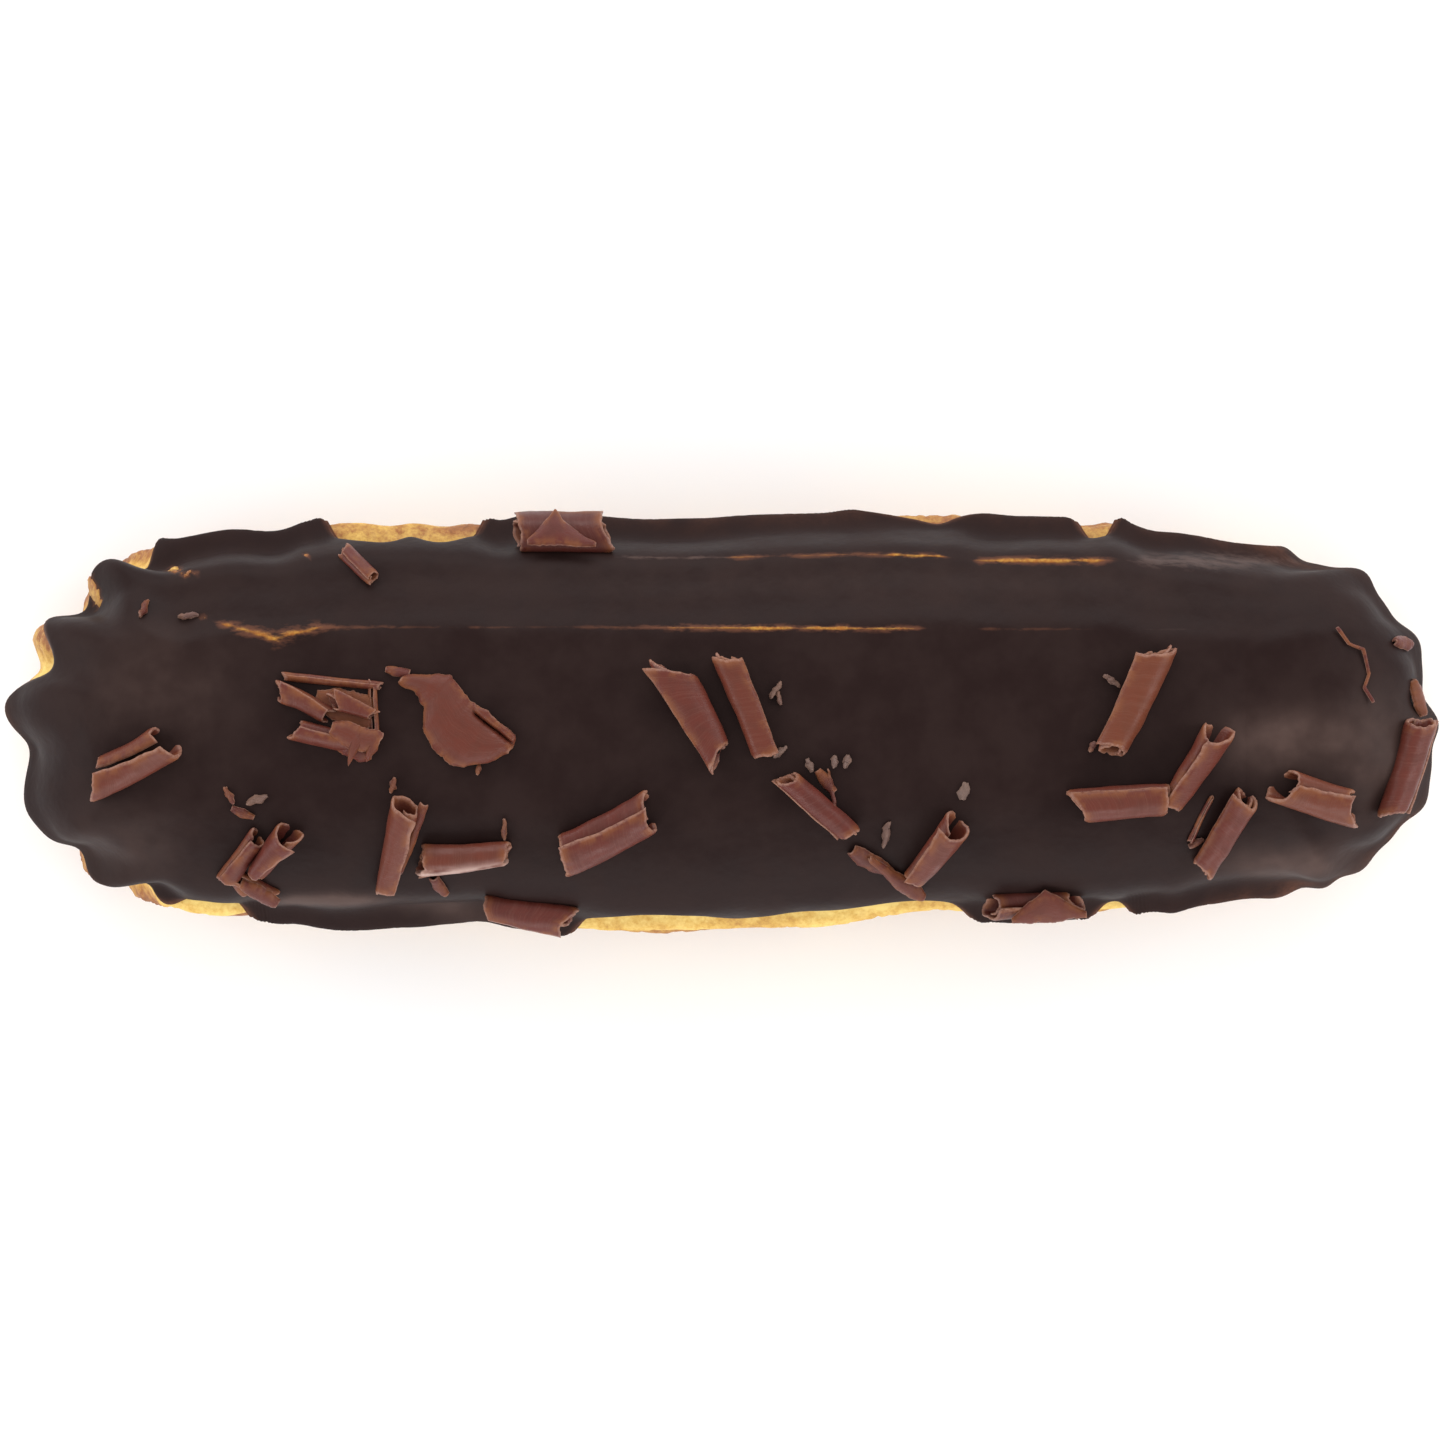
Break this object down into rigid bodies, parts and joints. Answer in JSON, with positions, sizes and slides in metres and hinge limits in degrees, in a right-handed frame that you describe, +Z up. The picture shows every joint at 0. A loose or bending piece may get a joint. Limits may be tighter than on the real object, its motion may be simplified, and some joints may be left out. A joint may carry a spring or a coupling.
{
  "type": "hazelnut chocolate eclair",
  "caption": "Long choux bun with piped ridges, rounded ends and a flat base, under dark chocolate icing that drips down its sides, with small milk chocolate curls on top.",
  "frame": {"origin": "centre of the flat base, on the surface that the eclair rests on", "axes": "+X along the length, from the scalloped end where piping started to the smoother end where it stopped; +Y across; +Z up"},
  "size_m": [0.1396, 0.0417, 0.0317],
  "materials": {
    "choux": "baked, dry, golden",
    "icing": "set dark chocolate, satin"
  },
  "bodies": {
    "root": {"choux_body": "choux", "chocolate_icing": "icing"}
  },
  "joints": []
}
